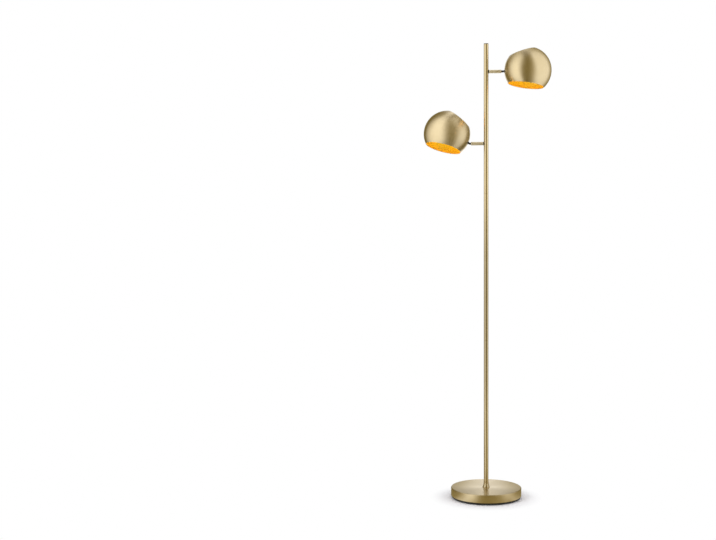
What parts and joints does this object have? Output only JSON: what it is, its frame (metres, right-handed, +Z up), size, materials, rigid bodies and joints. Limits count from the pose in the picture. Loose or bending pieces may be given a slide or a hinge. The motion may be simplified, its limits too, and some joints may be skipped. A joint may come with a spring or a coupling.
{
  "type": "tree floor lamp",
  "caption": "Tree floor lamp in brushed brass: round weighted base, slim pole, and short arms with swivelling spherical shades on black knuckles.",
  "frame": {"origin": "centre of the foot's flat underside, on the floor and on the pole's axis", "axes": "+Z up along the pole, +X along the upper arm towards its shade, +Y to the rear, where the cord enters"},
  "size_m": [0.4356, 0.2462, 1.57],
  "materials": {
    "pole_brass": "brushed antique brass, brushed along the tube",
    "base_brass": "brushed antique brass, turned",
    "shade_brass": "brushed antique brass, spun round the mouth's axis",
    "bush_brass": "machined",
    "black_metal": "satin black",
    "steel": "zinc plated",
    "iron": "rough cast",
    "foot_rubber": "matt black",
    "bush_plastic": "moulded",
    "wire_plastic": "smooth jacket",
    "holder_plastic": "moulded, cream",
    "opal_glass": "opal",
    "cap_metal": "pressed"
  },
  "bodies": {
    "root": {"base_cover": "base_brass", "base_nipple": "steel", "base_nut": "steel", "base_pad": "foot_rubber", "base_washer": "steel", "base_weight": "iron", "cord_inlet_bush": "bush_plastic", "foot_collar": "base_brass", "lower_arm_bush": "bush_brass", "lower_arm_nipple": "steel", "lower_arm_root_plug": "steel", "lower_arm_tube": "pole_brass", "lower_arm_washer": "black_metal", "lower_arm_wire": "wire_plastic", "pole_cap": "pole_brass", "pole_foot_plug": "steel", "pole_joiner_lower": "steel", "pole_joiner_upper": "steel", "pole_lower": "pole_brass", "pole_middle": "pole_brass", "pole_upper": "pole_brass", "pole_wire": "wire_plastic", "upper_arm_bush": "bush_brass", "upper_arm_nipple": "steel", "upper_arm_root_plug": "steel", "upper_arm_tube": "pole_brass", "upper_arm_washer": "black_metal", "upper_arm_wire": "wire_plastic"},
    "upper_swivel": {"upper_swivel_fork": "black_metal", "upper_swivel_nut": "steel", "upper_swivel_spring_washer": "steel", "upper_knuckle_pin": "black_metal"},
    "upper_head": {"upper_knuckle_eye": "black_metal", "upper_shade_washer": "black_metal", "upper_shade": "shade_brass", "upper_shade_inner_washer": "foot_rubber", "upper_shade_nut": "steel", "upper_holder_bracket": "steel", "upper_lamp_holder": "holder_plastic", "upper_holder_nut": "steel", "upper_bulb_glass": "opal_glass", "upper_bulb_cap": "cap_metal", "upper_head_wire": "wire_plastic"},
    "lower_swivel": {"lower_swivel_fork": "black_metal", "lower_swivel_nut": "steel", "lower_swivel_spring_washer": "steel", "lower_knuckle_pin": "black_metal"},
    "lower_head": {"lower_knuckle_eye": "black_metal", "lower_shade_washer": "black_metal", "lower_shade": "shade_brass", "lower_shade_inner_washer": "foot_rubber", "lower_shade_nut": "steel", "lower_holder_bracket": "steel", "lower_lamp_holder": "holder_plastic", "lower_holder_nut": "steel", "lower_bulb_glass": "opal_glass", "lower_bulb_cap": "cap_metal", "lower_head_wire": "wire_plastic"}
  },
  "joints": [
    {"name": "upper_roll", "type": "hinge", "parent": "root", "child": "upper_swivel", "pos_m": [0.0556, 0, 1.4745], "axis": [1, 0, 0], "range_deg": [-165, 165]},
    {"name": "upper_tilt", "type": "hinge", "parent": "upper_swivel", "child": "upper_head", "pos_m": [0.0556, 0, 1.4745], "axis": [0, -0.9936, 0.1132], "range_deg": [-51.5, 48.5]},
    {"name": "lower_roll", "type": "hinge", "parent": "root", "child": "lower_swivel", "pos_m": [-0.0556, 0, 1.23], "axis": [1, 0, 0], "range_deg": [-165, 165]},
    {"name": "lower_tilt", "type": "hinge", "parent": "lower_swivel", "child": "lower_head", "pos_m": [-0.0556, 0, 1.23], "axis": [0, 0.9744, -0.225], "range_deg": [-74, 26]}
  ]
}
